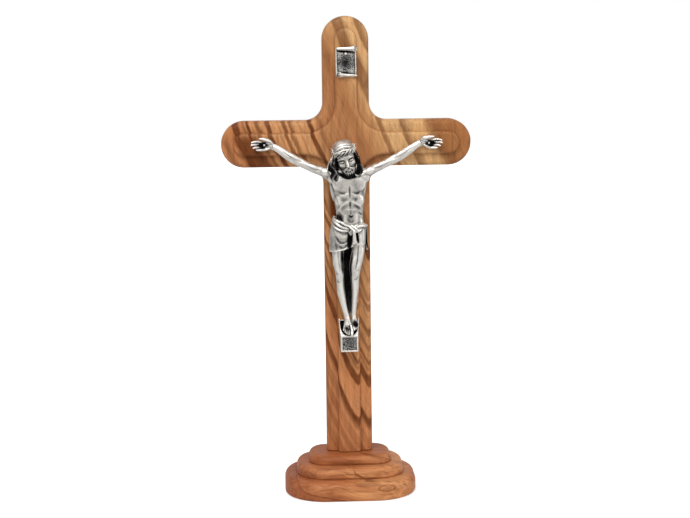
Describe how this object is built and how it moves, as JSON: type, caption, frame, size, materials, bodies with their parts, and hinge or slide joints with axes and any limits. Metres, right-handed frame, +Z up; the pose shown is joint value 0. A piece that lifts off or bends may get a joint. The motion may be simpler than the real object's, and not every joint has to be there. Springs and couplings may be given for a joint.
{
  "type": "standing crucifix",
  "caption": "Standing olive wood cross with rounded ends and a raised panel on a stepped base, carrying a cast antiqued metal figure on a footrest and a small blank scroll.",
  "frame": {"origin": "centre of the underside of the base, which stands on the table", "axes": "+Z up along the upright, +X to the viewer's right along the arms, the figure faces -Y"},
  "size_m": [0.135, 0.058, 0.26],
  "materials": {
    "cross_wood": "satin oiled olive wood",
    "base_wood": "satin oiled olive wood",
    "antique_silver": "silver plated casting, blackened in the recesses and rubbed bright",
    "plated_steel": "zinc plated"
  },
  "bodies": {
    "root": {"cross_board": "cross_wood", "base_block": "base_wood", "base_screw": "plated_steel", "corpus": "antique_silver", "left_palm_nail": "antique_silver", "right_palm_nail": "antique_silver", "feet_nail": "antique_silver", "scroll": "antique_silver", "scroll_nail": "antique_silver"}
  },
  "joints": []
}
